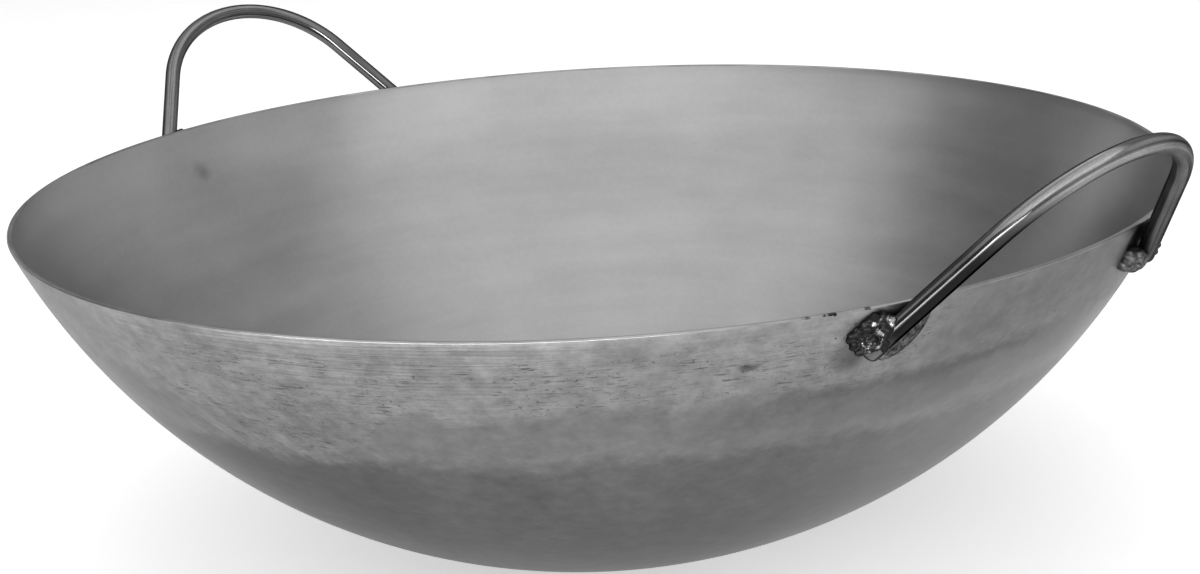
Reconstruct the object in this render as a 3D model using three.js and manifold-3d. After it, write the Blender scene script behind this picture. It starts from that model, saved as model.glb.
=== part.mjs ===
import * as THREE from "three";
import { mergeVertices } from "three/addons/utils/BufferGeometryUtils.js";
import Module from "manifold-3d";

const wasm = await Module();
wasm.setup();

// A steel wok with two welded loop handles. Lengths are in millimetres and angles in degrees.
// +Z is up, the wok rests on z = 0, and the handles stand on the +X and -X sides.

const RIM_DIAMETER = 406; // outside of the lip
const DEPTH = 134; // from the flat it rests on up to the lip
const SHEET_THICKNESS = 1.5;
const BASE_FLAT_DIAMETER = 50; // small flat in the middle of the bottom
const LIP_ROUNDING = 0.5; // on both corners of the lip

const ROD_DIAMETER = 6;
const FOOT_SPACING = 127.5; // between the two ends of one rod, on its centreline
const FOOT_DROP = 13.7; // from the lip down to the rod's ends
const LOOP_HEIGHT = 66.8; // from the rod's ends to its crown, within the plane of the loop
const LEG_CONVERGENCE = 28; // lean of each leg towards the other, within the plane of the loop
const LEG_RISE = 2.7; // angle at which a leg leaves the wall
const TIP_LENGTH = 2; // rounded tip beyond the rod's end
const SEAT_GAP = 0.3; // from the wall to the rod at its ends

const WELD_GAP = 0.3; // from a bead to the rod and to the wall
const WELD_WIDTH = 8; // across a long bead, before rod and wall are taken out of it
const WELD_HEIGHT = 11; // square to the wall, before rod and wall are taken out of it
const WELD_LIFT = 0.5; // from the wall up to the bead's centreline
const INNER_WELD_LENGTH = 18; // bead at a front foot, on the side of the loop's opening
const INNER_WELD_START = -0.5; // from the rod's end to the start of that bead
const INNER_WELD_OFFSET = 4.8; // from the rod's centreline to the bead's, along the wall
const SHORT_WELD_LENGTH = 11; // the same bead at a rear foot, which is short and wide
const SHORT_WELD_START = 2;
const SHORT_WELD_OFFSET = 7.6;
const SHORT_WELD_WIDTH = 10;
const OUTER_WELD_LENGTH = 16; // bead on the other side, which reaches round the rod's end
const OUTER_WELD_START = -5; // this one starts beyond the rod's tip
const OUTER_WELD_OFFSET = 3.7; // to the other side, along the wall
const RIPPLE_LENGTH = 2.5; // from one ripple of a bead to the next
const RIPPLE_DEPTH = 0.35; // how far the bead narrows between two ripples

// How finely curves are divided
const WALL_SIDES = 72;
const WALL_STEPS = 14;
const LIP_STEPS = 2;
const ROD_SIDES = 16;
const CROWN_STEPS = 22;
const TIP_STEPS = 3;
const WELD_SIDES = 12;
const STEPS_PER_RIPPLE = 3;

const { degToRad, lerp } = THREE.MathUtils;

// Geometry as a solid that can be joined and cut. Triangles without area, as at a lathe's poles, are left out.
function solidFrom(geometry) {
  geometry.deleteAttribute("normal");
  geometry.deleteAttribute("uv");
  const merged = mergeVertices(geometry, 1e-4);
  const corners = merged.index.array;
  const kept = [];
  for (let i = 0; i < corners.length; i += 3) {
    const [a, b, c] = corners.slice(i, i + 3);
    if (a !== b && b !== c && c !== a) {
      kept.push(a, b, c);
    }
  }
  const vertProperties = new Float32Array(merged.attributes.position.array);
  return new wasm.Manifold(new wasm.Mesh({ numProp: 3, vertProperties, triVerts: new Uint32Array(kept) }));
}

function geometryFrom(solid) {
  const { vertProperties, triVerts } = solid.getMesh();
  const geometry = new THREE.BufferGeometry();
  geometry.setAttribute("position", new THREE.BufferAttribute(vertProperties, 3));
  geometry.setIndex(new THREE.BufferAttribute(triVerts, 1));
  geometry.computeVertexNormals();
  return geometry;
}

// The wall: part of a sphere whose outside runs through the lip and the edge of the base flat
const rimRadius = RIM_DIAMETER / 2;
const flatRadius = BASE_FLAT_DIAMETER / 2;
const centreHeight = (rimRadius ** 2 + DEPTH ** 2 - flatRadius ** 2) / (2 * DEPTH);
const wallRadius = Math.hypot(flatRadius, centreHeight);
const wallCentre = new THREE.Vector3(0, 0, centreHeight);

// Points of the bowl's half section on a circle about the wall's centre, from one height to another
function arcPoints(radius, fromHeight, toHeight) {
  const from = Math.asin((fromHeight - centreHeight) / radius);
  const to = Math.asin((toHeight - centreHeight) / radius);
  const points = [];
  for (let i = 0; i <= WALL_STEPS; i += 1) {
    const angle = lerp(from, to, i / WALL_STEPS);
    points.push(new THREE.Vector2(radius * Math.cos(angle), centreHeight + radius * Math.sin(angle)));
  }
  return points;
}

function roundCorner(before, corner, after) {
  return new THREE.QuadraticBezierCurve(before, corner, after).getPoints(LIP_STEPS);
}

// A half section turned about the Z axis
function turned(profile, sides) {
  return new THREE.LatheGeometry(profile, sides).rotateX(Math.PI / 2);
}

function bowl() {
  const outside = arcPoints(wallRadius, 0, DEPTH - LIP_ROUNDING);
  const insideRadius = wallRadius - SHEET_THICKNESS;
  const inside = arcPoints(insideRadius, DEPTH - LIP_ROUNDING, SHEET_THICKNESS);
  const insideRim = Math.sqrt(insideRadius ** 2 - (centreHeight - DEPTH) ** 2);
  const lip = [
    ...roundCorner(
      outside.at(-1),
      new THREE.Vector2(rimRadius, DEPTH),
      new THREE.Vector2(rimRadius - LIP_ROUNDING, DEPTH),
    ),
    ...roundCorner(
      new THREE.Vector2(insideRim + LIP_ROUNDING, DEPTH),
      new THREE.Vector2(insideRim, DEPTH),
      inside[0],
    ),
  ];
  const profile = [
    new THREE.Vector2(0, 0),
    ...outside.slice(0, -1),
    ...lip,
    ...inside.slice(1),
    new THREE.Vector2(0, SHEET_THICKNESS),
  ];
  return solidFrom(turned(profile, WALL_SIDES));
}

// The space that the wall fills, grown outwards by a clearance, to cut the beads with
function wallCutter(clearance) {
  const radius = wallRadius + clearance;
  const profile = [
    new THREE.Vector2(0, -clearance),
    ...arcPoints(radius, -clearance, DEPTH),
    new THREE.Vector2(0, DEPTH),
  ];
  return solidFrom(turned(profile, WALL_SIDES));
}

// The loop of the +X handle. Its ends lie against the wall, and its lean follows from the angle at which
// its legs leave the wall there.
const rodRadius = ROD_DIAMETER / 2;
const seatRadius = wallRadius + SEAT_GAP + rodRadius;
const footHalf = FOOT_SPACING / 2;
const footHeight = DEPTH - FOOT_DROP;
const footBelowCentre = centreHeight - footHeight;
const footReach = Math.sqrt(seatRadius ** 2 - footHalf ** 2 - footBelowCentre ** 2);

const convergence = degToRad(LEG_CONVERGENCE);
const climb = seatRadius * Math.sin(degToRad(LEG_RISE)) + footHalf * Math.sin(convergence);
const wallSlope = Math.atan2(footBelowCentre, footReach);
const lean = wallSlope + Math.asin(climb / (Math.hypot(footReach, footBelowCentre) * Math.cos(convergence)));

const loopAcross = new THREE.Vector3(0, 1, 0);
const loopUp = new THREE.Vector3(Math.sin(lean), 0, Math.cos(lean));
const loopNormal = new THREE.Vector3().crossVectors(loopAcross, loopUp);
const loopOrigin = new THREE.Vector3(footReach, 0, footHeight);

// One arc joins the two legs at the crown
const crownRadius =
  (footHalf * Math.cos(convergence) - LOOP_HEIGHT * Math.sin(convergence)) / (1 - Math.sin(convergence));
const crownCentre = new THREE.Vector2(0, LOOP_HEIGHT - crownRadius);
const crownAngle = Math.PI - 2 * convergence;
const crownLength = crownRadius * crownAngle;
const rearFoot = new THREE.Vector2(footHalf, 0);
const frontFoot = new THREE.Vector2(-footHalf, 0);
const rearLegDirection = new THREE.Vector2(-Math.sin(convergence), Math.cos(convergence));
const frontLegDirection = new THREE.Vector2(-Math.sin(convergence), -Math.cos(convergence));
const legLength = new THREE.Vector2(Math.cos(convergence), Math.sin(convergence))
  .multiplyScalar(crownRadius)
  .add(crownCentre)
  .distanceTo(rearFoot);
const rodLength = 2 * legLength + crownLength;

// Place and direction on the rod's centreline, within the loop's plane, at a distance from its rear end
function loopAt(distance) {
  if (distance <= legLength) {
    const place = rearFoot.clone().addScaledVector(rearLegDirection, distance);
    return { place, direction: rearLegDirection };
  }
  if (distance >= legLength + crownLength) {
    const place = frontFoot.clone().addScaledVector(frontLegDirection, distance - rodLength);
    return { place, direction: frontLegDirection };
  }
  const angle = convergence + (distance - legLength) / crownRadius;
  const place = new THREE.Vector2(Math.cos(angle), Math.sin(angle)).multiplyScalar(crownRadius).add(crownCentre);
  return { place, direction: new THREE.Vector2(-Math.sin(angle), Math.cos(angle)) };
}

function inSpace(place) {
  return loopOrigin.clone().addScaledVector(loopAcross, place.x).addScaledVector(loopUp, place.y);
}

function alongLoop(direction) {
  return new THREE.Vector3().addScaledVector(loopAcross, direction.x).addScaledVector(loopUp, direction.y);
}

// A straight bar with rounded tips, turned about its length and then bent to the loop
function rod(radius) {
  const profile = [];
  for (let i = 0; i < TIP_STEPS; i += 1) {
    const angle = (Math.PI / 2) * (i / TIP_STEPS);
    profile.push(new THREE.Vector2(radius * Math.sin(angle), -TIP_LENGTH * Math.cos(angle)));
  }
  profile.push(new THREE.Vector2(radius, 0));
  for (let i = 0; i <= CROWN_STEPS; i += 1) {
    profile.push(new THREE.Vector2(radius, legLength + crownLength * (i / CROWN_STEPS)));
  }
  profile.push(new THREE.Vector2(radius, rodLength));
  for (let i = TIP_STEPS - 1; i >= 0; i -= 1) {
    profile.push(new THREE.Vector2(profile[i].x, rodLength - profile[i].y));
  }
  const bar = new THREE.LatheGeometry(profile, ROD_SIDES);
  const positions = bar.attributes.position;
  for (let i = 0; i < positions.count; i += 1) {
    const { place, direction } = loopAt(positions.getY(i));
    const along = alongLoop(direction);
    const outwards = new THREE.Vector3().crossVectors(along, loopNormal);
    const point = inSpace(place)
      .addScaledVector(outwards, positions.getX(i))
      .addScaledVector(loopNormal, positions.getZ(i));
    positions.setXYZ(i, point.x, point.y, point.z);
  }
  return solidFrom(bar);
}

// A bead turned about its length, with ripples from end to end, before it is cut to rod and wall
function rippledBead(length, width) {
  const ripples = Math.max(1, Math.round(length / RIPPLE_LENGTH));
  const steps = ripples * STEPS_PER_RIPPLE;
  const profile = [];
  for (let i = 0; i <= steps; i += 1) {
    const share = i / steps;
    const swell = Math.sqrt(Math.max(0, 1 - (2 * share - 1) ** 4));
    const ripple = RIPPLE_DEPTH * Math.sin(Math.PI * ripples * share) ** 2;
    const radius = Math.max(0, width / 2 - RIPPLE_DEPTH + ripple) * swell;
    profile.push(new THREE.Vector2(radius, length * share));
  }
  return new THREE.LatheGeometry(profile, WELD_SIDES).scale(1, 1, WELD_HEIGHT / width);
}

// A bead beside one end of the rod, cut to rod and wall. end is 1 at the rear and -1 at the front, and
// offset is towards the other end.
function weld(end, { start, length, width, offset }) {
  const foot = inSpace(new THREE.Vector2(end * footHalf, 0));
  const upLeg = alongLoop(new THREE.Vector2(-end * Math.sin(convergence), Math.cos(convergence)));
  const middle = foot.addScaledVector(upLeg, start + length / 2);
  const outOfWall = middle.sub(wallCentre).normalize();
  const upWall = upLeg.projectOnPlane(outOfWall).normalize();
  const inwards = new THREE.Vector3().crossVectors(outOfWall, upWall).multiplyScalar(end);
  const beadStart = wallCentre
    .clone()
    .addScaledVector(outOfWall, wallRadius + WELD_LIFT)
    .addScaledVector(inwards, offset)
    .addScaledVector(upWall, -length / 2);
  const stand = new THREE.Matrix4().makeBasis(inwards, upWall, outOfWall.multiplyScalar(-end));
  const bead = rippledBead(length, width).applyMatrix4(stand.setPosition(beadStart));
  return solidFrom(bead).subtract(rod(rodRadius + WELD_GAP)).subtract(wallCutter(WELD_GAP));
}

const sheetSteel = { color: 0x8a8a8a, roughness: 0.42, metalness: 1 };
const rodSteel = { color: 0xa6a6a6, roughness: 0.25, metalness: 1 };
const weldSteel = { color: 0x4a4a4a, roughness: 0.55, metalness: 1 };

const wok = new THREE.Group();
wok.name = "wok";

function addPiece(parent, name, solid, finish) {
  const mesh = new THREE.Mesh(geometryFrom(solid), new THREE.MeshStandardMaterial(finish));
  mesh.name = name;
  parent.add(mesh);
}

addPiece(wok, "bowl", bowl(), sheetSteel);

const innerBeads = {
  front: {
    start: INNER_WELD_START,
    length: INNER_WELD_LENGTH,
    width: WELD_WIDTH,
    offset: INNER_WELD_OFFSET,
  },
  rear: {
    start: SHORT_WELD_START,
    length: SHORT_WELD_LENGTH,
    width: SHORT_WELD_WIDTH,
    offset: SHORT_WELD_OFFSET,
  },
};
const outerBead = {
  start: OUTER_WELD_START,
  length: OUTER_WELD_LENGTH,
  width: WELD_WIDTH,
  offset: -OUTER_WELD_OFFSET,
};

// Both loops are alike: the left one is the right one after half a turn about Z
const loop = rod(rodRadius);
const handles = [
  { name: "right", turn: 0, endNames: { rear: 1, front: -1 } },
  { name: "left", turn: Math.PI, endNames: { front: 1, rear: -1 } },
];
for (const { name, turn, endNames } of handles) {
  const handle = new THREE.Group();
  handle.rotation.z = turn;
  addPiece(handle, `${name}_handle`, loop, rodSteel);
  for (const [endName, end] of Object.entries(endNames)) {
    addPiece(handle, `${name}_${endName}_inner_weld`, weld(end, innerBeads[endName]), weldSteel);
    addPiece(handle, `${name}_${endName}_outer_weld`, weld(end, outerBead), weldSteel);
  }
  wok.add(handle);
}

export default wok;
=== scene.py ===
import math

import bmesh
import bpy
import numpy as np
from mathutils import Matrix, Vector


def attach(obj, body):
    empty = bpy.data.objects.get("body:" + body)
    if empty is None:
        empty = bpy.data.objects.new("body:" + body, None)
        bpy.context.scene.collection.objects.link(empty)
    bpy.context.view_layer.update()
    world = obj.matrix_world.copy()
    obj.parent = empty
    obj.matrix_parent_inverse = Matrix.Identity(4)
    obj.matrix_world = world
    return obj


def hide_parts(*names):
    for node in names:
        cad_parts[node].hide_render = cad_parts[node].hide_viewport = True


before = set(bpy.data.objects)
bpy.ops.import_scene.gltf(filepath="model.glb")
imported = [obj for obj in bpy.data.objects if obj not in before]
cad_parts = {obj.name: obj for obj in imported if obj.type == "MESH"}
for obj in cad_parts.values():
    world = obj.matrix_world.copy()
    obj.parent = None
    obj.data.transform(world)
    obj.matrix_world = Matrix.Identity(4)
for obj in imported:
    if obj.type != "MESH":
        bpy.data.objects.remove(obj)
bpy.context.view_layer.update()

# Sizes of the wok in metres, as in the solids
RIM_RADIUS = 0.203
DEPTH = 0.134
SHEET = 0.0015
FLAT_RADIUS = 0.025
LIP_ROUNDING = 0.0006
ROD_RADIUS = 0.003
FOOT_HALF = 0.06375
FOOT_DROP = 0.0137
LOOP_HEIGHT = 0.0668
CONVERGENCE = math.radians(28)
LEG_RISE = math.radians(2.7)
TIP_LENGTH = 0.002
SEAT_GAP = 0.0001

# The wall is part of a sphere that stands on the small flat of the base
CENTRE_HEIGHT = (RIM_RADIUS**2 + DEPTH**2 - FLAT_RADIUS**2) / (2 * DEPTH)
WALL_RADIUS = math.hypot(FLAT_RADIUS, CENTRE_HEIGHT)
WALL_CENTRE = np.array([0, 0, CENTRE_HEIGHT])

BOWL_SIDES = 288
WALL_ROWS = 72
LIP_ROWS = 8
ROD_SIDES = 32
ROD_ROWS = 140
TIP_ROWS = 6


def unit(v):
    """The same directions, at length one."""
    return v / np.linalg.norm(v, axis=-1, keepdims=True)


def make_object(name, vertices, faces):
    """A smooth-shaded object of these vertices and faces, in the scene."""
    mesh = bpy.data.meshes.new(name)
    mesh.from_pydata(np.asarray(vertices).reshape(-1, 3).tolist(), [], faces)
    mesh.polygons.foreach_set("use_smooth", [True] * len(mesh.polygons))
    mesh.update()
    piece = bpy.data.objects.new(name, mesh)
    bpy.context.scene.collection.objects.link(piece)
    return piece


def keep_places(piece, name, places):
    """Stores three numbers for each vertex, which a material then reads by name."""
    layer = piece.data.attributes.new(name, "FLOAT_VECTOR", "POINT")
    layer.data.foreach_set("vector", np.asarray(places, np.float32).ravel())


def dress(piece, slot, node, *materials):
    """Lets a piece stand for a solid of the frame, with its materials."""
    for material in materials:
        piece.data.materials.append(material)
    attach(piece, "root")
    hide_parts(node)


def closed_rings(rings, first, last):
    """Vertices and faces of a surface through rings of points that closes on one point at each end."""
    rings = np.asarray(rings)
    count, sides = rings.shape[:2]
    vertices = np.vstack([rings.reshape(-1, 3), [first], [last]])
    start, end = count * sides, count * sides + 1
    faces = []
    for j in range(sides):
        k = (j + 1) % sides
        faces.append((start, k, j))
        for i in range(count - 1):
            faces.append((i * sides + j, i * sides + k, (i + 1) * sides + k, (i + 1) * sides + j))
        faces.append((end, (count - 1) * sides + j, (count - 1) * sides + k))
    return vertices, faces


# Bowl

OUTSIDE, INSIDE, LIP = 0, 1, 2
FLAT_STEPS = (0.3, 0.6, 0.85, 0.96)
# Waves of the spun sheet: share of the depth, waves around, twist over the height and phase in radians
SHEET_WAVES = (
    (0.5, 2, 0, 0.6), (0.22, 5, 3, 1.1), (0.12, 9, -5, 2.3), (0.1, 14, 11, 0.4), (0.07, 23, -9, 4.0))
WAVE_DEPTH = 0.00028
STILL_HEIGHT = 0.02
LEVEL_HEIGHT = DEPTH - 2 * SHEET


def wall_arc(radius, low, high):
    """Radius and height along the wall's half section, between two heights."""
    start, stop = (math.asin((z - CENTRE_HEIGHT) / radius) for z in (low, high))
    a = np.linspace(start, stop, WALL_ROWS)
    return np.stack([radius * np.cos(a), CENTRE_HEIGHT + radius * np.sin(a)], 1)


def unevenness(theta, height):
    """How far the sheet stands out of true: long, shallow waves that die out towards the base."""
    share = height / DEPTH
    waves = sum(w * np.sin(n * theta + m * share + p) for w, n, m, p in SHEET_WAVES)
    return WAVE_DEPTH * waves * share * np.clip(height / STILL_HEIGHT, 0, 1)


def bowl():
    """The wall's half section turned round, with its rounded lip."""
    outside = wall_arc(WALL_RADIUS, 0, DEPTH - LIP_ROUNDING)
    inside = wall_arc(WALL_RADIUS - SHEET, DEPTH - LIP_ROUNDING, SHEET)
    base = np.array([[FLAT_RADIUS * share, 0] for share in FLAT_STEPS])
    inner_base = np.array([[inside[-1, 0] * share, SHEET] for share in reversed(FLAT_STEPS)])
    middle = (outside[-1] + inside[0]) / 2
    half = (outside[-1] - inside[0]) / 2
    turns = np.linspace(0, math.pi, LIP_ROWS + 2)[1:-1]
    lip = np.array([middle + half * math.cos(t) + (0, LIP_ROUNDING * math.sin(t)) for t in turns])
    profile = np.vstack([base, outside, lip, inside, inner_base])
    lip_start = len(base) + len(outside) - 1
    lip_end = lip_start + len(lip)

    theta = np.arange(BOWL_SIDES) / BOWL_SIDES * 2 * math.pi
    r, z = profile[:, :1], profile[:, 1:]
    normal = unit(profile - (0, CENTRE_HEIGHT))
    shift = unevenness(theta, z)
    # The lip stays level
    level = np.where(z < LEVEL_HEIGHT, z + shift * normal[:, 1:], z + 0 * theta)
    r = r + shift * normal[:, :1]
    rings = np.stack([r * np.cos(theta), r * np.sin(theta), level], -1)
    vertices, faces = closed_rings(rings, (0, 0, 0), (0, 0, SHEET))
    piece = make_object("steel_bowl", vertices, faces)

    rows = [OUTSIDE] * (lip_start + 1) + [LIP] * (len(lip) + 1) + [INSIDE] * (len(profile) - 1 - lip_end)
    piece.data.polygons.foreach_set("material_index", rows * BOWL_SIDES)

    run = np.append(0, np.cumsum(np.linalg.norm(np.diff(profile, axis=0), axis=1)))
    below_lip = np.abs(run - run[(lip_start + lip_end) // 2])
    around = np.broadcast_to(np.stack([np.cos(theta), np.sin(theta)], -1), rings.shape[:2] + (2,))
    down = np.broadcast_to(below_lip[:, None, None], rings.shape[:2] + (1,))
    places = np.concatenate([around, down], -1).reshape(-1, 3)
    poles = [(0, 0, below_lip[0] + profile[0, 0]), (0, 0, below_lip[-1] + profile[-1, 0])]
    keep_places(piece, "wall_place", np.vstack([places, poles]))
    return piece


# Handle loops: the rod's centreline lies in a plane that leans out from the wall

SEAT_RADIUS = WALL_RADIUS + ROD_RADIUS + SEAT_GAP
FOOT_HEIGHT = DEPTH - FOOT_DROP
FOOT_BELOW = CENTRE_HEIGHT - FOOT_HEIGHT
FOOT_REACH = math.sqrt(SEAT_RADIUS**2 - FOOT_HALF**2 - FOOT_BELOW**2)
CLIMB = SEAT_RADIUS * math.sin(LEG_RISE) + FOOT_HALF * math.sin(CONVERGENCE)
LEAN = math.atan2(FOOT_BELOW, FOOT_REACH) + math.asin(
    CLIMB / (math.hypot(FOOT_REACH, FOOT_BELOW) * math.cos(CONVERGENCE)))
CROWN_RADIUS = (FOOT_HALF * math.cos(CONVERGENCE) - LOOP_HEIGHT * math.sin(CONVERGENCE)) / (
    1 - math.sin(CONVERGENCE))
LEG_LENGTH = math.dist(
    (FOOT_HALF, 0),
    (CROWN_RADIUS * math.cos(CONVERGENCE), LOOP_HEIGHT - CROWN_RADIUS * (1 - math.sin(CONVERGENCE))))
CROWN_LENGTH = CROWN_RADIUS * (math.pi - 2 * CONVERGENCE)
ROD_LENGTH = 2 * LEG_LENGTH + CROWN_LENGTH
LOOP_UP = np.array([math.sin(LEAN), 0, math.cos(LEAN)])
LOOP_ACROSS = np.array([0.0, 1.0, 0.0])
LOOP_NORMAL = np.cross(LOOP_ACROSS, LOOP_UP)
LOOP_FOOT = np.array([FOOT_REACH, 0, FOOT_HEIGHT])


def loop_at(distance):
    """Point and direction on the right handle's centreline, at a distance from its rear end."""
    s, c = math.sin(CONVERGENCE), math.cos(CONVERGENCE)
    if distance <= LEG_LENGTH:
        place, way = (FOOT_HALF - s * distance, c * distance), (-s, c)
    elif distance >= LEG_LENGTH + CROWN_LENGTH:
        back = ROD_LENGTH - distance
        place, way = (s * back - FOOT_HALF, c * back), (-s, -c)
    else:
        a = CONVERGENCE + (distance - LEG_LENGTH) / CROWN_RADIUS
        place = (CROWN_RADIUS * math.cos(a), LOOP_HEIGHT - CROWN_RADIUS * (1 - math.sin(a)))
        way = (-math.sin(a), math.cos(a))
    point = LOOP_FOOT + place[0] * LOOP_ACROSS + place[1] * LOOP_UP
    return point, way[0] * LOOP_ACROSS + way[1] * LOOP_UP


def spun(points, turn):
    """Points of the right handle's side, turned about the bowl's axis."""
    return np.asarray(points) @ np.array(Matrix.Rotation(turn, 3, "Z")).T


def handle(name, turn):
    """The bent rod, with rounded tips, whose material knows the place along and around the rod."""
    tip = [(-TIP_LENGTH * math.cos(a), math.sin(a)) for a in np.linspace(0, math.pi / 2, TIP_ROWS + 1)[1:]]
    length = [(d, 1.0) for d in np.linspace(0, ROD_LENGTH, ROD_ROWS)[1:-1]]
    stations = tip + length + [(ROD_LENGTH - d, width) for d, width in reversed(tip)]
    around = np.arange(ROD_SIDES) / ROD_SIDES * 2 * math.pi
    turned = np.stack([np.cos(around), np.sin(around)], 1)
    rings, places = [], []
    for distance, width in stations:
        point, way = loop_at(distance)
        out = np.cross(way, LOOP_NORMAL)
        rings.append(point + ROD_RADIUS * width * (turned @ np.array([out, LOOP_NORMAL])))
        places.append(np.column_stack([turned, np.full(ROD_SIDES, distance)]))
    ends = (-TIP_LENGTH, ROD_LENGTH + TIP_LENGTH)
    vertices, faces = closed_rings(rings, *(loop_at(d)[0] for d in ends))
    piece = make_object(name, spun(vertices, turn), faces)
    keep_places(piece, "rod_place", np.vstack(places + [[(0, 0, d)] for d in ends]))
    return piece


# Welds: drops of metal run together, pressed against the wall

DROP_FINENESS = 3
DROP_VOXEL = 0.0003
FLOW_FACTOR = 0.5
FLOW_ROUNDS = 5
SINK = 0.0003
REAR, FRONT = 1, -1


def foot_frame(end):
    """A foot's place on the rod's axis, and the ways up the rod, towards the other foot and out."""
    point, way = loop_at(0) if end == REAR else loop_at(ROD_LENGTH)
    out = unit(point - WALL_CENTRE)
    up = unit(end * way - end * (way @ out) * out)
    return point, up, end * np.cross(out, up), out


def on_wall(end, along, across, height):
    """A point over the wall beside a foot: along the rod, across towards the other foot, and up."""
    point, up, inward, _ = foot_frame(end)
    direction = unit(point + along * up + across * inward - WALL_CENTRE)
    return WALL_CENTRE + (WALL_RADIUS + height) * direction


def run_together(drops):
    """The vertices and faces of one skin over drops that overlap. A drop is its centre and radius."""
    shape = bmesh.new()
    for centre, radius in drops:
        place = Matrix.Translation(Vector(centre)) @ Matrix.Scale(radius, 4)
        bmesh.ops.create_icosphere(shape, subdivisions=DROP_FINENESS, radius=1, matrix=place)
    mesh = bpy.data.meshes.new("drops")
    shape.to_mesh(mesh)
    shape.free()
    lump = bpy.data.objects.new("drops", mesh)
    bpy.context.scene.collection.objects.link(lump)
    skin = lump.modifiers.new("skin", "REMESH")
    skin.mode = "VOXEL"
    skin.voxel_size = DROP_VOXEL
    flow = lump.modifiers.new("flow", "SMOOTH")
    flow.factor = FLOW_FACTOR
    flow.iterations = FLOW_ROUNDS
    view = bpy.context.evaluated_depsgraph_get()
    done = lump.evaluated_get(view).to_mesh()
    vertices = np.array([v.co[:] for v in done.vertices])
    faces = [tuple(p.vertices) for p in done.polygons]
    bpy.data.objects.remove(lump)
    bpy.data.meshes.remove(mesh)
    return vertices, faces


def settled(vertices):
    """The vertices with those below the wall's skin brought up to just under it."""
    from_centre = vertices - WALL_CENTRE
    distance = np.linalg.norm(from_centre, axis=1, keepdims=True)
    lowest = WALL_RADIUS - SINK
    return WALL_CENTRE + from_centre * np.maximum(distance, lowest) / distance


# The long bead of a front foot: drops in rows, fatter and further from the rod half way
LONG_START = 0.0012
LONG_LENGTH = 0.0172
LONG_DROPS = 18
LONG_ACROSS = (0.0049, 0.0060)  # at both ends, half way
LONG_RADII = (0.0018, 0.0026)
LONG_ROWS = (  # across, height
    (0.0, 0.0030), (0.0004, 0.0018), (0.0006, 0.0006), (-0.0018, 0.0026), (-0.0018, 0.0010))
# The short bead of a rear foot: along, across, height, radius of its drops
SHORT_DROPS = (
    (0.0015, 0.0045, 0.0025, 0.0030), (0.0035, 0.0070, 0.0018, 0.0034), (0.0060, 0.0095, 0.0008, 0.0032),
    (0.0060, 0.0060, 0.0020, 0.0032), (0.0085, 0.0085, 0.0010, 0.0028), (0.0045, 0.0050, 0.0030, 0.0030),
    (0.0025, 0.0085, 0.0006, 0.0016), (0.0086, 0.0060, 0.0034, 0.0014), (0.0055, 0.0072, 0.0040, 0.0016))
RIPPLE_PITCH = 0.0016
RIPPLE_DEPTH = 0.00004
RIPPLE_BOW = 180
OUTER_ROWS = (  # across, height, first and last place along the rod
    (0.0010, 0.0045, 0.0042, 0.0074),
    (-0.0006, 0.0051, 0.0028, 0.0088),
    (-0.0023, 0.0047, 0.0012, 0.0105),
    (-0.0038, 0.0036, -0.0012, 0.0120),
    (-0.0052, 0.0020, -0.0016, 0.0115),
    (-0.0066, 0.0006, -0.0014, 0.0090))
OUTER_STEP = 0.0010
OUTER_RADII = (0.0009, 0.0015)
OUTER_SCATTER = 0.0006
SPATTER_COUNT = 2
SPATTER_RADII = (0.0003, 0.0005)
SPATTER_REACH = (0.008, 0.012)
SPATTER_ANGLES = (0.55 * math.pi, math.pi)
LIP_SPATTER = ((0.0118, 0.0006), (0.0131, 0.0005), (0.0149, 0.0004))  # from the foot along the lip, radius


def long_drops():
    """Along, across, height and radius of each drop of a front foot's long bead."""
    for share in np.linspace(0, 1, LONG_DROPS):
        swell = 4 * share * (1 - share)
        across = LONG_ACROSS[0] + (LONG_ACROSS[1] - LONG_ACROSS[0]) * swell
        radius = LONG_RADII[0] + (LONG_RADII[1] - LONG_RADII[0]) * swell
        for aside, height in LONG_ROWS:
            yield LONG_START + share * LONG_LENGTH, across + aside, height, radius


def inner_bead(end, drops, cleaned):
    """A fat bead beside the rod and nearly as high as the rod, with shallow ripples across it."""
    places = [(on_wall(end, along, across, height), radius) for along, across, height, radius in drops]
    vertices, faces = run_together(places)
    point, up, inward, out = foot_frame(end)
    along = (vertices - point) @ up
    across = (vertices - point) @ inward - LONG_ACROSS[1]
    wave = np.sin(2 * math.pi * (along + RIPPLE_BOW * across**2) / RIPPLE_PITCH)
    vertices = vertices + RIPPLE_DEPTH * wave[:, None] * out
    return settled(vertices), faces, np.column_stack([along, across, np.full(len(along), cleaned)])


def outer_weld(end, seed, lip_spatter):
    """Rough drops heaped over the rod's end and its outer side, with spatter on the wall and the lip."""
    random = np.random.default_rng(seed)
    drops = []
    for across, height, first, last in OUTER_ROWS:
        for along in np.arange(first, last, OUTER_STEP):
            off = random.uniform(-OUTER_SCATTER, OUTER_SCATTER, 3)
            centre = on_wall(end, along + off[0], across + off[1], height + off[2])
            drops.append((centre, random.uniform(*OUTER_RADII)))
    for _ in range(SPATTER_COUNT):
        reach = random.uniform(*SPATTER_REACH)
        angle = random.uniform(*SPATTER_ANGLES)
        centre = on_wall(end, reach * math.cos(angle), -reach * math.sin(angle), 0)
        drops.append((centre, random.uniform(*SPATTER_RADII)))
    foot = foot_frame(end)[0]
    for reach, radius in lip_spatter:
        angle = math.atan2(foot[1], foot[0]) + end * reach / RIM_RADIUS
        centre = (RIM_RADIUS * math.cos(angle), RIM_RADIUS * math.sin(angle), DEPTH - radius / 2)
        drops.append((centre, radius))
    vertices, faces = run_together(drops)
    return settled(vertices), faces


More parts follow.
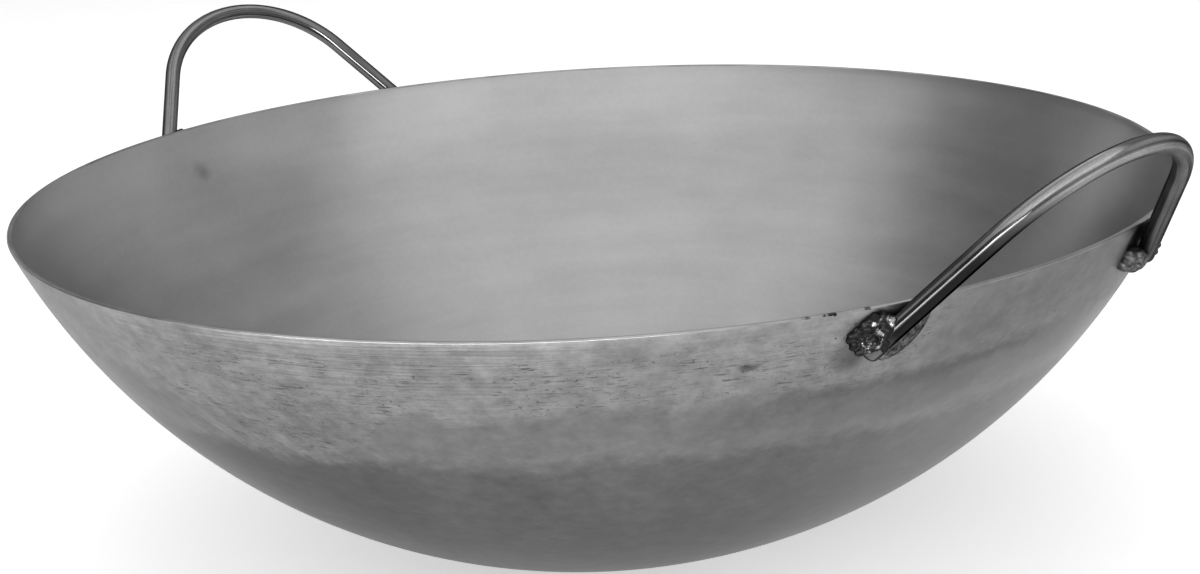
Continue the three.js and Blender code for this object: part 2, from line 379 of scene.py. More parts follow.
# Finishes
#
# A noise is its scales along the axes, its detail and its roughness. A fade is the first and the last value
# of a range, then what they become where that isn't 0 and 1. A swing is a middle and how far noise goes to
# either side. A reach is a fade by the cosine of the angle from a direction. Distances are in metres.


class Nodes:
    """Short ways to add shader nodes to one tree. Most give back the socket that holds the result."""

    def __init__(self, tree):
        self.tree = tree

    def fill(self, socket, value):
        if isinstance(value, bpy.types.NodeSocket):
            self.tree.links.new(value, socket)
        else:
            socket.default_value = value

    def add(self, kind, inputs, **settings):
        node = self.tree.nodes.new("ShaderNode" + kind)
        for name, value in settings.items():
            setattr(node, name, value)
        for key, value in inputs.items():
            self.fill(node.inputs[key], value)
        return node

    def math(self, operation, *values):
        return self.add("Math", dict(enumerate(values)), operation=operation).outputs[0]

    def vector(self, operation, *values):
        return self.add("VectorMath", dict(enumerate(values)), operation=operation).outputs[0]

    def distance(self, a, b):
        return self.add("VectorMath", {0: a, 1: b}, operation="DISTANCE").outputs["Value"]

    def dot(self, a, b):
        return self.add("VectorMath", {0: a, 1: b}, operation="DOT_PRODUCT").outputs["Value"]

    def position(self):
        return self.add("TexCoord", {}).outputs["Object"]

    def place(self, name):
        return self.add("Attribute", {}, attribute_name=name).outputs["Vector"]

    def part(self, vector, axis):
        return self.add("SeparateXYZ", {0: vector}).outputs[axis]

    def noise(self, vector, scales, detail=2.0, roughness=0.5):
        stretched = self.vector("MULTIPLY", vector, scales)
        inputs = {"Vector": stretched, "Scale": 1.0, "Detail": detail, "Roughness": roughness}
        return self.add("TexNoise", inputs).outputs[0]

    def fade(self, value, start, stop, low=0.0, high=1.0):
        inputs = {"Value": value, "From Min": start, "From Max": stop, "To Min": low, "To Max": high}
        return self.add("MapRange", inputs, interpolation_type="SMOOTHSTEP").outputs["Result"]

    def facing(self, place, way, reach):
        """A fade by how nearly a place lies in a direction."""
        return self.fade(self.dot(place, way), *reach)

    def swing(self, value, middle, span):
        """A noise value around a middle: noise mostly keeps within a quarter of 0.5."""
        return self.math("MULTIPLY_ADD", value, 2 * span, middle - span)

    def mixed(self, share, a, b):
        return self.add("Mix", {"Factor": share, "A": a, "B": b}, data_type="FLOAT").outputs["Result"]

    def changed(self, share, amount):
        """One, with a share of an amount added."""
        return self.math("MULTIPLY_ADD", share, amount, 1.0)

    def times(self, *values):
        product = values[0]
        for value in values[1:]:
            product = self.math("MULTIPLY", product, value)
        return product

    def plus(self, *values):
        total = values[0]
        for value in values[1:]:
            total = self.math("ADD", total, value)
        return total

    def bump(self, height, depth, under=None):
        inputs = {"Height": height, "Strength": 1.0, "Distance": depth}
        if under is not None:
            inputs["Normal"] = under
        return self.add("Bump", inputs).outputs["Normal"]

    def steps(self, value, length, stops):
        """A tone that follows stops of (distance, tone) over a length."""
        share = self.math("DIVIDE", value, length)
        ramp = self.add("ValToRGB", {0: share})
        points = ramp.color_ramp.elements
        for index, (distance, tone) in enumerate(stops):
            point = points[index] if index < len(points) else points.new(1.0)
            point.position = distance / length
            point.color = (tone, tone, tone, 1)
        return ramp.outputs["Color"]


def metal(name, edge_tint):
    """A new metal and its nodes. The tint is how much of the sheen at a grazing view is left."""
    material = bpy.data.materials.new(name)
    material.use_nodes = True
    shader = material.node_tree.nodes["Principled BSDF"]
    shader.inputs["Metallic"].default_value = 1.0
    shader.inputs["Specular Tint"].default_value = (edge_tint, edge_tint, edge_tint, 1)
    return material, Nodes(material.node_tree), shader.inputs


def near_feet(nodes, position, along, across):
    """How far a position is from a point of the wall beside the nearest foot."""
    point = on_wall(REAR, along, across, 0)
    folded = nodes.vector("ABSOLUTE", position)
    return nodes.distance(folded, tuple(np.abs(point)))


def side_at(degrees):
    """The level direction at an angle about the bowl's axis, or a direction around the rod."""
    angle = math.radians(degrees)
    return math.cos(angle), math.sin(angle), 0


# Outside of the bowl: tones by the distance below the lip, then its sides, noises and marks
OUTSIDE_TINT = 0.7
OUTSIDE_LENGTH = 0.12
OUTSIDE_TONES = (
    (0.0, 0.25), (0.027, 0.24), (0.034, 0.185), (0.042, 0.19), (0.048, 0.2), (0.05, 0.21),
    (0.057, 0.15), (0.1, 0.145))
# On the swirled side the tones are multiplied by these, which are halved because a ramp ends at 1
SWIRLED_LIFT = ((0.0, 0.5), (0.028, 0.5), (0.034, 0.62), (0.052, 0.55), (0.060, 0.36), (0.1, 0.38))
LIFT_SCALE = 2.0
WORN_SIDE, WORN_REACH = side_at(-49), (0.72, 0.97)
SWIRLED_SIDE, SWIRLED_REACH = side_at(-74), (0.955, 0.995)
RIGHT_SIDE, RIGHT_REACH = side_at(10), (0.85, 0.975)
STRIPED_SIDE, STRIPED_REACH = side_at(-10), (0.95, 0.985)
LINED_SIDE, LINED_REACH = side_at(-64), (0.9, 0.985, 0.3, 1.0)
DRIFT_NOISE, DRIFT_SWING = ((22, 22, 22), 3.0), (0, 0.011)
FINE_DRIFT_NOISE, FINE_DRIFT_SWING = ((160, 160, 260), 5.0, 0.68), (0, 0.008)
CLOUD_NOISE, CLOUD_SWING = ((26, 26, 26), 6.0, 0.6), (1.0, 0.4)
MOTTLE_NOISE, MOTTLE_SWING = ((150, 150, 210), 5.0, 0.68), (1.0, 0.6)
GRAIN_NOISE, GRAIN_SWING = ((420, 420, 420), 3.0, 0.6), (1.0, 0.1)
SWIRL_NOISE = ((75, 75, 95), 5.0, 0.62)
BAND_END = 0.031
BAND_EDGE = 0.003
BELOW_BAND = 0.93
RAGGED_SWING = (0, 0.014)
RAGGED_SHARE = (0.0, 1.0, 0.25, 1.0)
SWIRLED_DEPTH = 0.022
WORN_CLOUDS = (0.5, 0.62)
MOTTLED_SHARE = (0.0, 2.0, 0.3, 1.0)
RIGHT_TONES = (0.01, 0.07, -0.32, 0.45)
WIPE_WAY = side_at(28)
WIPE_NOISE, WIPE_TONES = ((130, 24, 1), 3.0, 0.6), (0.4, 0.62, -0.1, 0.1)
WIPED_FROM, WIPED_TO = (0.02, 0.035), (0.052, 0.064, 1.0, 0.0)
STRIPE_FROM, STRIPE_TO = (0.0255, 0.031), (0.031, 0.0355, 1.0, 0.0)
STRIPE_DRIFT = 0.5
STRIPE_CHANGE = -0.26
LINE_NOISE, LINE_TONES = ((5, 5, 1500), 4.0, 0.75), (0.34, 0.64, 0.74, 1.14)
LINED_TO = (0.008, 0.024, 1.0, 0.35)
DASH_NOISE, DASH_EDGE = ((34, 34, 1900), 3.0, 0.6), (0.56, 0.64)
SPECK_NOISE, SPECK_EDGE = ((700, 700, 1100), 3.0, 0.6), (0.6, 0.68)
DASHED_FROM = (0.004, 0.01)
DASH_CLUSTERS = (0.38, 0.57)
DASH_CHANGE = -0.55
SMUDGE_PLACE, SMUDGE_TONES = (-0.005, -0.001), (0.002, 0.009, 0.45, 1.0)
# Painted shade in the gap between the rod and the wall, a little way up from each foot
GAP_SHADE_PLACE, GAP_SHADE_TONES = (0.013, 0.005), (0.003, 0.0065, 0.12, 1.0)
OUTSIDE_ROUGHNESS = (0.33, 0.12)
BAND_ROUGHNESS = 0.1
CLOUD_DEPTH = 0.0004
LINE_DEPTH = 0.00004
DASH_RELIEF = -0.5

SCUFF_ANGLE = math.radians(-28.4)
SCUFF_DOWN = 0.0157
SCUFF_STRETCH = (1, 1, 2.6)
SCUFF_SWING = (0, 0.004)
SCUFF_TONES = (0.0015, 0.0045, 0.5, 1.0)
SCUFF_LEAN = math.asin(RIM_RADIUS / WALL_RADIUS) - SCUFF_DOWN / WALL_RADIUS
SCUFF = (
    WALL_RADIUS * math.sin(SCUFF_LEAN) * math.cos(SCUFF_ANGLE),
    WALL_RADIUS * math.sin(SCUFF_LEAN) * math.sin(SCUFF_ANGLE),
    CENTRE_HEIGHT - WALL_RADIUS * math.cos(SCUFF_LEAN))


class OuterWall:
    """What the marks of the outside share, and the marks, each as a factor of the tone."""

    def __init__(self, nodes):
        self.nodes = nodes
        self.place = nodes.place("wall_place")
        self.position = nodes.position()
        self.down = nodes.part(self.place, 2)
        self.worn_side = nodes.facing(self.place, WORN_SIDE, WORN_REACH)
        self.swirled_side = nodes.facing(self.place, SWIRLED_SIDE, SWIRLED_REACH)
        self.drift = nodes.swing(nodes.noise(self.position, *DRIFT_NOISE), *DRIFT_SWING)
        self.fine_drift = nodes.swing(nodes.noise(self.position, *FINE_DRIFT_NOISE), *FINE_DRIFT_SWING)
        self.drifted = nodes.plus(self.down, self.drift, self.fine_drift)
        self.swirls = nodes.noise(self.position, *SWIRL_NOISE)
        self.clouds = nodes.noise(self.position, *CLOUD_NOISE)
        self.mottles = nodes.noise(self.position, *MOTTLE_NOISE)
        self.lines = nodes.noise(self.place, *LINE_NOISE)
        self.dashes = nodes.fade(nodes.noise(self.place, *DASH_NOISE), *DASH_EDGE)
        self.worn = nodes.math("MAXIMUM", self.worn_side, nodes.fade(self.clouds, *WORN_CLOUDS))
        self.band = self.dull_band()

    def dull_band(self):
        """One in the dull band under the lip. Its lower edge is ragged, most on the worn side."""
        nodes = self.nodes
        share = nodes.fade(self.worn_side, *RAGGED_SHARE)
        ragged = nodes.times(nodes.swing(self.swirls, *RAGGED_SWING), share)
        deeper = nodes.math("MULTIPLY", self.swirled_side, -SWIRLED_DEPTH)
        edge = nodes.plus(self.down, self.drift, ragged, deeper)
        return nodes.fade(edge, BAND_END - BAND_EDGE, BAND_END + BAND_EDGE, 1.0, 0.0)

    def even(self):
        """The right side is darker near the lip and lighter below."""
        side = self.nodes.facing(self.place, RIGHT_SIDE, RIGHT_REACH)
        return self.nodes.changed(side, self.nodes.fade(self.down, *RIGHT_TONES))

    def swirled(self):
        """The swirled side has tones of its own, and broad wipes that run down aslant."""
        nodes = self.nodes
        lift = nodes.steps(self.drifted, OUTSIDE_LENGTH, SWIRLED_LIFT)
        aside = nodes.math("MULTIPLY_ADD", nodes.dot(self.place, WIPE_WAY), -RIM_RADIUS, self.down)
        aslant = nodes.add("CombineXYZ", {0: aside, 1: self.down}).outputs[0]
        wipes = nodes.fade(nodes.noise(aslant, *WIPE_NOISE), *WIPE_TONES)
        zone = nodes.times(nodes.fade(self.down, *WIPED_FROM), nodes.fade(self.down, *WIPED_TO))
        tone = nodes.times(lift, LIFT_SCALE, nodes.changed(zone, wipes))
        return nodes.mixed(self.swirled_side, 1.0, tone)

    def striped(self):
        """A soft dark stripe along the band's lower edge on the right."""
        nodes = self.nodes
        drifts = nodes.times(nodes.plus(self.drift, self.fine_drift), STRIPE_DRIFT)
        at = nodes.plus(self.down, drifts)
        side = nodes.facing(self.place, STRIPED_SIDE, STRIPED_REACH)
        stripe = nodes.times(nodes.fade(at, *STRIPE_FROM), nodes.fade(at, *STRIPE_TO), side)
        return nodes.changed(stripe, STRIPE_CHANGE)

    def mottled(self):
        """Mottling, strongest in the band on the worn side."""
        nodes = self.nodes
        share = nodes.fade(nodes.plus(self.band, self.worn_side), *MOTTLED_SHARE)
        return nodes.mixed(share, 1.0, nodes.swing(self.mottles, *MOTTLE_SWING))

    def lined(self):
        """Fine turning lines in the worn parts of the band, mostly near the lip."""
        nodes = self.nodes
        side = nodes.facing(self.place, LINED_SIDE, LINED_REACH)
        share = nodes.times(self.band, self.worn, nodes.fade(self.down, *LINED_TO), side)
        return nodes.mixed(share, 1.0, nodes.fade(self.lines, *LINE_TONES))

    def dashed(self):
        """Clusters of short dark dashes and specks in the worn parts of the band."""
        nodes = self.nodes
        specks = nodes.fade(nodes.noise(self.position, *SPECK_NOISE), *SPECK_EDGE)
        clusters = nodes.fade(self.swirls, *DASH_CLUSTERS)
        zone = nodes.times(nodes.fade(self.down, *DASHED_FROM), self.band, self.worn, clusters)
        marks = nodes.math("MAXIMUM", self.dashes, specks)
        return nodes.changed(nodes.times(marks, zone), DASH_CHANGE)

    def scuffed(self):
        """One ragged dark scuff."""
        nodes = self.nodes
        away = nodes.vector("MULTIPLY", nodes.vector("SUBTRACT", self.position, SCUFF), SCUFF_STRETCH)
        ragged = nodes.plus(nodes.distance(away, (0, 0, 0)), nodes.swing(self.mottles, *SCUFF_SWING))
        return nodes.fade(ragged, *SCUFF_TONES)

    def heat_and_shade(self):
        """A smudge of the welding heat at each foot, and painted shade in the gap between the rod and the
        wall, a little way up the rod.
        """
        nodes = self.nodes
        smudge = nodes.fade(near_feet(nodes, self.position, *SMUDGE_PLACE), *SMUDGE_TONES)
        # Painted shade in the gap between the rod and the wall
        gap_shade = nodes.fade(near_feet(nodes, self.position, *GAP_SHADE_PLACE), *GAP_SHADE_TONES)
        return nodes.times(smudge, gap_shade)


def outside_metal():
    """Raw sheet: a dull, mottled band with turning lines under the lip, darker and smoother below."""
    material, nodes, inputs = metal("outside_steel", OUTSIDE_TINT)
    wall = OuterWall(nodes)
    tone = nodes.steps(wall.drifted, OUTSIDE_LENGTH, OUTSIDE_TONES)
    faded = nodes.mixed(wall.band, BELOW_BAND, 1.0)
    clouded = nodes.swing(wall.clouds, *CLOUD_SWING)
    grained = nodes.swing(nodes.noise(wall.position, *GRAIN_NOISE), *GRAIN_SWING)
    broad = nodes.times(tone, wall.even(), wall.swirled(), wall.striped(), faded, clouded)
    fine = nodes.times(wall.mottled(), grained, wall.lined(), wall.dashed(), wall.scuffed(), wall.heat_and_shade())
    nodes.fill(inputs["Base Color"], nodes.times(broad, fine))
    rougher = nodes.math("MULTIPLY", wall.band, BAND_ROUGHNESS)
    nodes.fill(inputs["Roughness"], nodes.plus(rougher, nodes.swing(wall.clouds, *OUTSIDE_ROUGHNESS)))
    cut = nodes.math("MULTIPLY", wall.dashes, DASH_RELIEF)
    relief = nodes.times(nodes.plus(wall.lines, cut), wall.band)
    soft = nodes.bump(wall.clouds, CLOUD_DEPTH)
    nodes.fill(inputs["Normal"], nodes.bump(relief, LINE_DEPTH, soft))
    return material


# Inside of the bowl
INSIDE_TINT = 0.7
# Painted light: the inside is lighter near the lip and a little darker lower down
PAINTED_RIM_LIGHT = (0.01, 0.05, 1.16, 0.97)
PATCH_NOISE, PATCH_SWING = ((11, 11, 16), 3.0, 0.55), (0.34, 0.08)
RING_NOISE, RING_SWING = ((1.5, 1.5, 75), 3.0, 0.55), (1.0, 0.17)
BLOTCH_NOISE, BLOTCH_SWING = ((30, 30, 48), 4.0, 0.6), (1.0, 0.1)
SATIN_NOISE, SATIN_SWING = ((500, 500, 500), 2.0), (1.0, 0.05)
INSIDE_ROUGHNESS = (0.36, 0.08)
RING_ROUGHNESS = (0.0, 0.4)
RING_DEPTH = 0.00012
STAIN_ANGLE = math.radians(-165.3)
STAIN_HEIGHT = 0.117
STAIN_RADIUS = math.sqrt((WALL_RADIUS - SHEET)**2 - (CENTRE_HEIGHT - STAIN_HEIGHT)**2)
STAIN = (STAIN_RADIUS * math.cos(STAIN_ANGLE), STAIN_RADIUS * math.sin(STAIN_ANGLE), STAIN_HEIGHT)
STAIN_NOISE, STAIN_SWING = ((90, 90, 90), 3.0), (0.0, 0.005)
STAIN_CORE, STAIN_HALO = (0.0, 0.0065, 0.66, 1.0), (0.0, 0.035, 0.88, 1.0)


def inside_metal():
    """Satin steel with faint rings from turning, soft patches, a heat stain behind one far foot, and painted
    light that makes it lighter near the lip.
    """
    material, nodes, inputs = metal("inside_steel", INSIDE_TINT)
    place = nodes.place("wall_place")
    position = nodes.position()
    patches = nodes.noise(position, *PATCH_NOISE)
    rings = nodes.noise(place, *RING_NOISE)
    blotched = nodes.swing(nodes.noise(position, *BLOTCH_NOISE), *BLOTCH_SWING)
    grained = nodes.swing(nodes.noise(position, *SATIN_NOISE), *SATIN_SWING)
    # Painted light near the lip
    painted_rim_light = nodes.fade(nodes.part(place, 2), *PAINTED_RIM_LIGHT)
    blur = nodes.swing(nodes.noise(position, *STAIN_NOISE), *STAIN_SWING)
    from_stain = nodes.plus(nodes.distance(position, STAIN), blur)
    stained = nodes.times(nodes.fade(from_stain, *STAIN_CORE), nodes.fade(from_stain, *STAIN_HALO))
    sheet = nodes.times(nodes.swing(patches, *PATCH_SWING), nodes.swing(rings, *RING_SWING))
    nodes.fill(inputs["Base Color"], nodes.times(sheet, blotched, grained, painted_rim_light, stained))
    uneven = nodes.plus(patches, nodes.swing(rings, *RING_ROUGHNESS))
    nodes.fill(inputs["Roughness"], nodes.swing(uneven, *INSIDE_ROUGHNESS))
    nodes.fill(inputs["Normal"], nodes.bump(rings, RING_DEPTH))
    return material


# Lip
LIP_TINT = 0.9
NICK_NOISE, NICK_SWING = ((90, 90, 900), 4.0, 0.7), (1.0, 0.12)
STRETCH_NOISE, STRETCH_SWING = ((7, 7, 1), 3.0, 0.6), (0.3, 0.24)
LIP_ROUGHNESS = (0.34, 0.06)
LIP_MARK_PLACE = (-0.005, -0.006)
LIP_MARK = on_wall(FRONT, *LIP_MARK_PLACE, 0)
LIP_PATCH_NOISE, LIP_PATCH_SWING = ((70, 70, 1), 2.0), (0.0, 0.016)
LIP_HEAT = (0.011, 0.017, 0.2, 1.0)


def lip_metal():
    """The cut edge, ground bright, with heat-darkened patches beside the right handle's front foot."""
    material, nodes, inputs = metal("lip_steel", LIP_TINT)
    place = nodes.place("wall_place")
    nicks = nodes.noise(place, *NICK_NOISE)
    stretches = nodes.swing(nodes.noise(place, *STRETCH_NOISE), *STRETCH_SWING)
    patchy = nodes.swing(nodes.noise(place, *LIP_PATCH_NOISE), *LIP_PATCH_SWING)
    from_foot = nodes.plus(nodes.distance(nodes.position(), tuple(LIP_MARK)), patchy)
    heat = nodes.fade(from_foot, *LIP_HEAT)
    nodes.fill(inputs["Base Color"], nodes.times(stretches, nodes.swing(nicks, *NICK_SWING), heat))
    nodes.fill(inputs["Roughness"], nodes.swing(nicks, *LIP_ROUGHNESS))
    return material


# Rods. Distances are from the rod's front end, but those of the dulled and polished lengths from its rear end
ROD_TINT = 0.18
RIGHT_ROD = {"strength": 1.0, "heat_and_shade": 0.2, "dulled": 0.5, "underside_shade": 0.72, "topside_light": 1.3}
# The left rod is the same steel as the right, darkened all over as painted shade
LEFT_ROD = {"strength": 0.7, "heat_and_shade": 0.75, "dulled": 0.9, "underside_shade": 0.3, "topside_light": 0.3}
DRAWN_NOISE, DRAWN_EDGE, DRAWN_TONES = ((3.4, 3.4, 9), 4.0, 0.65), (0.32, 0.66), (0.13, 0.36)
DULL_NOISE, DULL_SWING = ((1.1, 1.1, 75), 3.0, 0.6), (1.0, 0.3)
STREAK_NOISE, STREAK_SWING = ((6, 6, 900), 3.0, 0.6), (1.0, 0.3)
# Near the front foot, the darker length is heat tint with painted shade, the darker underside is painted
# shade and the lighter top is painted light
SHADED_UNDERSIDE, SHADED_REACH = side_at(75), (0.5, 0.68)
LIT_TOPSIDE, LIT_REACH = side_at(-45), (0.6, 0.85)
UNDER_SHADE_FROM, UNDER_SHADE_TO = (0.004, 0.01), (0.05, 0.075, 1.0, 0.0)
TOP_LIGHT_TO = (0.036, 0.062, 1.0, 0.0)
HEAT_AND_SHADE_LENGTH = (0.036, 0.062)
DULLED_LENGTH = (0.035, 0.08)
ROD_TIP = (0.0, 0.008, 2.2, 1.0)
POLISHED_LENGTH = (0.4 * ROD_LENGTH, 0.62 * ROD_LENGTH)
ROD_ROUGHNESS = (0.36, 0.1)
POLISHED_ROUGHNESS = (0.5, 0.75, 0.1, 0.22)
DRAWN_DEPTH = 0.000003


def rod_metal(name, strength, heat_and_shade, dulled, underside_shade, topside_light):
    """Drawn bar: streaked along, bright in its second half, with dull patches and ends darkened by heat. Near
    the front foot, its darker length is heat tint with painted shade, its underside has painted shade and its
    top has painted light.
    """
    material, nodes, inputs = metal(name, ROD_TINT)
    place = nodes.place("rod_place")
    along = nodes.part(place, 2)
    from_front = nodes.math("SUBTRACT", ROD_LENGTH, along)
    drawn = nodes.noise(place, *DRAWN_NOISE)
    patches = nodes.noise(place, *DULL_NOISE)
    # Where the rod gets painted shade underneath and painted light on top, near its front foot
    under = nodes.times(
        nodes.facing(place, SHADED_UNDERSIDE, SHADED_REACH),
        nodes.fade(from_front, *UNDER_SHADE_FROM), nodes.fade(from_front, *UNDER_SHADE_TO))
    over = nodes.times(nodes.facing(place, LIT_TOPSIDE, LIT_REACH), nodes.fade(from_front, *TOP_LIGHT_TO))
    # Heat tint at the ends, with the painted shade and painted light near the front foot
    heat = nodes.times(
        nodes.fade(from_front, *HEAT_AND_SHADE_LENGTH, heat_and_shade, 1.0), nodes.fade(along, *DULLED_LENGTH, dulled, 1.0),
        nodes.fade(from_front, *ROD_TIP), nodes.changed(under, -underside_shade), nodes.changed(over, topside_light))
    tone = nodes.fade(drawn, *DRAWN_EDGE, *(strength * tone for tone in DRAWN_TONES))
    streaked = nodes.swing(nodes.noise(place, *STREAK_NOISE), *STREAK_SWING)
    nodes.fill(inputs["Base Color"], nodes.times(tone, nodes.swing(patches, *DULL_SWING), streaked, heat))
    polished = nodes.fade(along, *POLISHED_LENGTH)
    rough = nodes.swing(patches, *ROD_ROUGHNESS)
    smooth = nodes.fade(patches, *POLISHED_ROUGHNESS)
    nodes.fill(inputs["Roughness"], nodes.mixed(polished, rough, smooth))
    nodes.fill(inputs["Normal"], nodes.bump(drawn, DRAWN_DEPTH))
    return material


# Welds
BEAD_TINT = 0.5
RUN_NOISE = ((160, 900, 0), 4.0, 0.65)
PIT_NOISE = ((700, 700, 0), 4.0, 0.7)
DARK_TONES = (0.75, 1.25, 0.012, 0.11)
CLEANED_TONES = (0.36, 0.64, 0.04, 0.2)
# A painted highlight over the start of each bead
START_HIGHLIGHT, START_SWING = (0.0, 0.0035, 2.6, 1.0), (0.0, 0.004)
BEAD_ROUGHNESS = (0.38, 0.14)
BEAD_DEPTH = 0.0005
SPATTER_TINT = 0.6
SCALE_NOISE, BARE_EDGE = ((380, 380, 380), 4.0, 0.6), (0.55, 0.66)
SCALE_TONE, BARE_TONE = 0.02, 0.3
SCALE_ROUGHNESS, BARE_ROUGHNESS = 0.4, 0.22
SCALE_DEPTH = 0.0002


def bead_metal():
    """A weld run's dark skin, streaked along it, with a painted highlight at its start, or lighter where it
    is cleaned.
    """
    material, nodes, inputs = metal("bead_metal", BEAD_TINT)
    place = nodes.place("bead_place")
    cleaned = nodes.part(place, 2)
    streaks = nodes.noise(place, *RUN_NOISE)
    pits = nodes.noise(place, *PIT_NOISE)
    rough = nodes.plus(streaks, pits)
    from_start = nodes.plus(nodes.part(place, 0), nodes.swing(pits, *START_SWING))
    # The dark skin, with the painted highlight at the start
    dark = nodes.times(nodes.fade(rough, *DARK_TONES), nodes.fade(from_start, *START_HIGHLIGHT))
    nodes.fill(inputs["Base Color"], nodes.mixed(cleaned, dark, nodes.fade(pits, *CLEANED_TONES)))
    nodes.fill(inputs["Roughness"], nodes.swing(streaks, *BEAD_ROUGHNESS))
    nodes.fill(inputs["Normal"], nodes.bump(rough, BEAD_DEPTH))
    return material


def spatter_metal():
    """Burnt drops: black scale, with bright spots where it has come off."""
    material, nodes, inputs = metal("spatter_metal", SPATTER_TINT)
    scale = nodes.noise(nodes.position(), *SCALE_NOISE)
    bare = nodes.fade(scale, *BARE_EDGE)
    nodes.fill(inputs["Base Color"], nodes.mixed(bare, SCALE_TONE, BARE_TONE))
    nodes.fill(inputs["Roughness"], nodes.mixed(bare, SCALE_ROUGHNESS, BARE_ROUGHNESS))
    nodes.fill(inputs["Normal"], nodes.bump(scale, SCALE_DEPTH))
    return material


# A handle's name, turn and finish, and the rod's ends at its rear and front foot. The left is turned round
HANDLES = (("right", 0.0, RIGHT_ROD, REAR, FRONT), ("left", math.pi, LEFT_ROD, FRONT, REAR))
FIRST_SEED = 11


def build_wok():
    """The bowl, the two handles and their welds, each in the place of its solid."""
    dress(bowl(), "sheet_steel", "bowl", outside_metal(), inside_metal(), lip_metal())
    bead, spatter = bead_metal(), spatter_metal()
    seed = FIRST_SEED
    for side, turn, finish, rear, front in HANDLES:
        rod = rod_metal(f"{side}_rod_steel", **finish)
        dress(handle(f"{side}_loop", turn), "rod_steel", f"{side}_handle", rod)
        for name, end in (("rear", rear), ("front", front)):
            drops, cleaned = (long_drops(), 0) if name == "front" else (SHORT_DROPS, 1)
            vertices, faces, places = inner_bead(end, drops, cleaned)
            piece = make_object(f"{side}_{name}_inner_bead", spun(vertices, turn), faces)
            keep_places(piece, "bead_place", places)
            dress(piece, "weld_metal", f"{side}_{name}_inner_weld", bead)
            marks = LIP_SPATTER if (side, name) == ("right", "front") else ()
            vertices, faces = outer_weld(end, seed, marks)
            piece = make_object(f"{side}_{name}_outer_bead", spun(vertices, turn), faces)
            dress(piece, "weld_metal", f"{side}_{name}_outer_weld", spatter)
            seed += 1


# Studio

FLOOR_HALF = 30
FLOOR_TONE = 0.85
FLOOR_GLOW = 0.45
FLOOR_ROUGHNESS = 0.9
FLOOR_SHINE = 0.1
WHITE = (1, 1, 1, 1)
VIEW_AZIMUTH = math.radians(49.77)
VIEW_RIGHT = Vector((math.cos(VIEW_AZIMUTH), math.sin(VIEW_AZIMUTH), 0))
VIEW_FRONT = Vector((math.sin(VIEW_AZIMUTH), -math.cos(VIEW_AZIMUTH), 0))
STUDIO_LEFT, STUDIO_RIGHT, STUDIO_TOP = 0.19, 0.68, 0.42
SIDE_FADE = (-0.8, 0.8)
TOP_FADE = (0.4, 0.75)
GLOW_AZIMUTH = math.radians(-147)
GLOW_ELEVATION = math.radians(15)
GLOW_INNER = math.radians(5)
GLOW_OUTER = math.radians(11)
GLOW_STRENGTH = 0.9
LIGHT_AIM = Vector((0, 0, 0.08))


def view_way(azimuth, elevation):
    """A direction away from the wok, by its angle to the right from the camera's side and its angle up."""
    a = VIEW_AZIMUTH + azimuth
    across = math.cos(elevation)
    return Vector((math.sin(a) * across, -math.cos(a) * across, math.sin(elevation)))


def floor():
    """A wide sheet of paper, white to the camera and in the metal, that keeps the wok's shadow."""
    half = FLOOR_HALF
    corners = [(-half, -half, 0), (half, -half, 0), (half, half, 0), (-half, half, 0)]
    piece = make_object("floor", corners, [(0, 1, 2, 3)])
    material = bpy.data.materials.new("floor_paper")
    material.use_nodes = True
    nodes = Nodes(material.node_tree)
    inputs = material.node_tree.nodes["Principled BSDF"].inputs
    inputs["Base Color"].default_value = (FLOOR_TONE, FLOOR_TONE, FLOOR_TONE, 1)
    inputs["Roughness"].default_value = FLOOR_ROUGHNESS
    inputs["Specular IOR Level"].default_value = FLOOR_SHINE
    inputs["Emission Color"].default_value = WHITE
    path = nodes.add("LightPath", {}).outputs
    seen = nodes.math("MAXIMUM", path["Is Camera Ray"], path["Is Glossy Ray"])
    seen = nodes.math("MAXIMUM", seen, path["Is Transmission Ray"])
    nodes.fill(inputs["Emission Strength"], nodes.math("MULTIPLY", seen, FLOOR_GLOW))
    piece.data.materials.append(material)


def studio_world():
    """Even light all round, dimmer low on the camera's left, with a soft glow low behind the wok."""
    world = bpy.data.worlds.new("studio")
    bpy.context.scene.world = world
    world.use_nodes = True
    nodes = Nodes(world.node_tree)
    direction = nodes.add("TexCoord", {}).outputs["Generated"]
    sideways = nodes.dot(direction, VIEW_RIGHT)
    light = world.node_tree.nodes["Background"].inputs
    light["Color"].default_value = WHITE
    low = nodes.fade(sideways, *SIDE_FADE, STUDIO_LEFT, STUDIO_RIGHT)
    high = nodes.fade(nodes.part(direction, 2), *TOP_FADE)
    glow_reach = (math.cos(GLOW_OUTER), math.cos(GLOW_INNER), 0.0, GLOW_STRENGTH)
    glow = nodes.facing(direction, view_way(GLOW_AZIMUTH, GLOW_ELEVATION), glow_reach)
    nodes.fill(light["Strength"], nodes.plus(nodes.mixed(high, low, STUDIO_TOP), glow))


WATTS_PER_RADIANCE = 4  # for each square metre of a lamp
PANEL_HEIGHT = 1.5
PANEL_LEFT = 0.2
PANEL_FRONT = 1.2
PANEL_TURN = math.radians(33.5)
PANEL_SIZE = (3.72, 3.9)
PANEL_RADIANCE = 0.7
STRIP_AZIMUTH = math.radians(-25)
STRIP_ELEVATION = math.radians(4)
STRIP_DISTANCE = 1.25
STRIP_SIZE = (1.7, 0.2)
STRIP_RADIANCE = 10


def lamp(name, size, radiance):
    """An area lamp that looks as bright as its radiance, whatever its size."""
    light = bpy.data.lights.new(name, "AREA")
    light.shape = "RECTANGLE"
    light.size, light.size_y = size
    light.energy = radiance * WATTS_PER_RADIANCE * size[0] * size[1]
    piece = bpy.data.objects.new(name, light)
    bpy.context.scene.collection.objects.link(piece)
    return piece


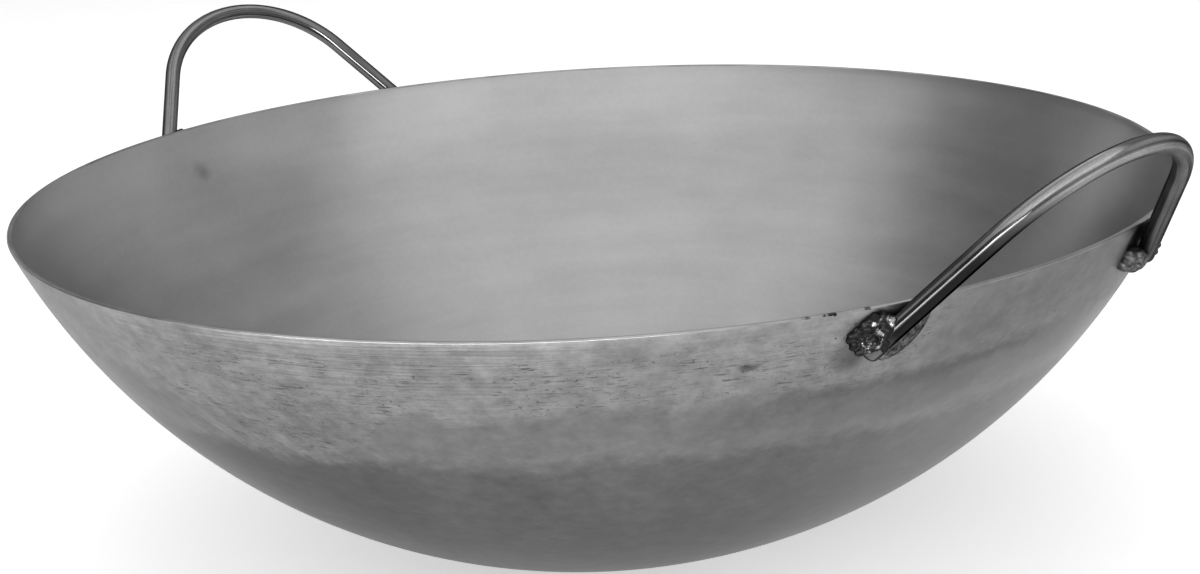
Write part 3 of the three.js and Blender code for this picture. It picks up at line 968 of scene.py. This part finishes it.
def lights():
    """A large level panel overhead, and a thin bright strip low on the left that draws lines on the rods."""
    panel = lamp("ceiling_panel", PANEL_SIZE, PANEL_RADIANCE)
    level = PANEL_FRONT * VIEW_FRONT - PANEL_LEFT * VIEW_RIGHT
    panel.location = LIGHT_AIM + level + Vector((0, 0, PANEL_HEIGHT))
    panel.rotation_euler = (0, 0, VIEW_AZIMUTH + PANEL_TURN)
    strip = lamp("low_strip", STRIP_SIZE, STRIP_RADIANCE)
    back = view_way(STRIP_AZIMUTH, STRIP_ELEVATION)
    strip.location = LIGHT_AIM + STRIP_DISTANCE * back
    strip.rotation_euler = back.to_track_quat("Z", "Y").to_euler()


# Camera, from the rim and outline in the photograph, whose image is 1200 pixels wide

IMAGE_WIDTH = 1200
FOCAL_PIXELS = 2163
SENSOR_WIDTH = 36
VIEW_ELEVATION = math.radians(15.97)
VIEW_ROLL = math.radians(-3.3446)
VIEW_DISTANCE = 0.77141
SHIFT_RIGHT = 0.003152
SHIFT_UP = -0.042019
CLIP_START, CLIP_END = 0.01, 100


def camera():
    """The photograph's camera, turned a little about its own axis."""
    back = view_way(0, VIEW_ELEVATION)
    level_up = back.cross(VIEW_RIGHT)
    right = math.cos(VIEW_ROLL) * VIEW_RIGHT + math.sin(VIEW_ROLL) * level_up
    up = math.cos(VIEW_ROLL) * level_up - math.sin(VIEW_ROLL) * VIEW_RIGHT
    eye = Vector((0, 0, DEPTH)) + VIEW_DISTANCE * back + SHIFT_RIGHT * right + SHIFT_UP * up
    data = bpy.data.cameras.new("camera")
    data.sensor_fit = "HORIZONTAL"
    data.sensor_width = SENSOR_WIDTH
    data.lens = FOCAL_PIXELS / IMAGE_WIDTH * SENSOR_WIDTH
    data.clip_start = CLIP_START
    data.clip_end = CLIP_END
    piece = bpy.data.objects.new("camera", data)
    turn = Matrix((right, up, back)).transposed()
    piece.matrix_world = Matrix.Translation(eye) @ turn.to_4x4()
    bpy.context.scene.collection.objects.link(piece)
    bpy.context.scene.camera = piece


build_wok()
floor()
studio_world()
lights()
camera()
bpy.context.scene.view_settings.view_transform = "Standard"
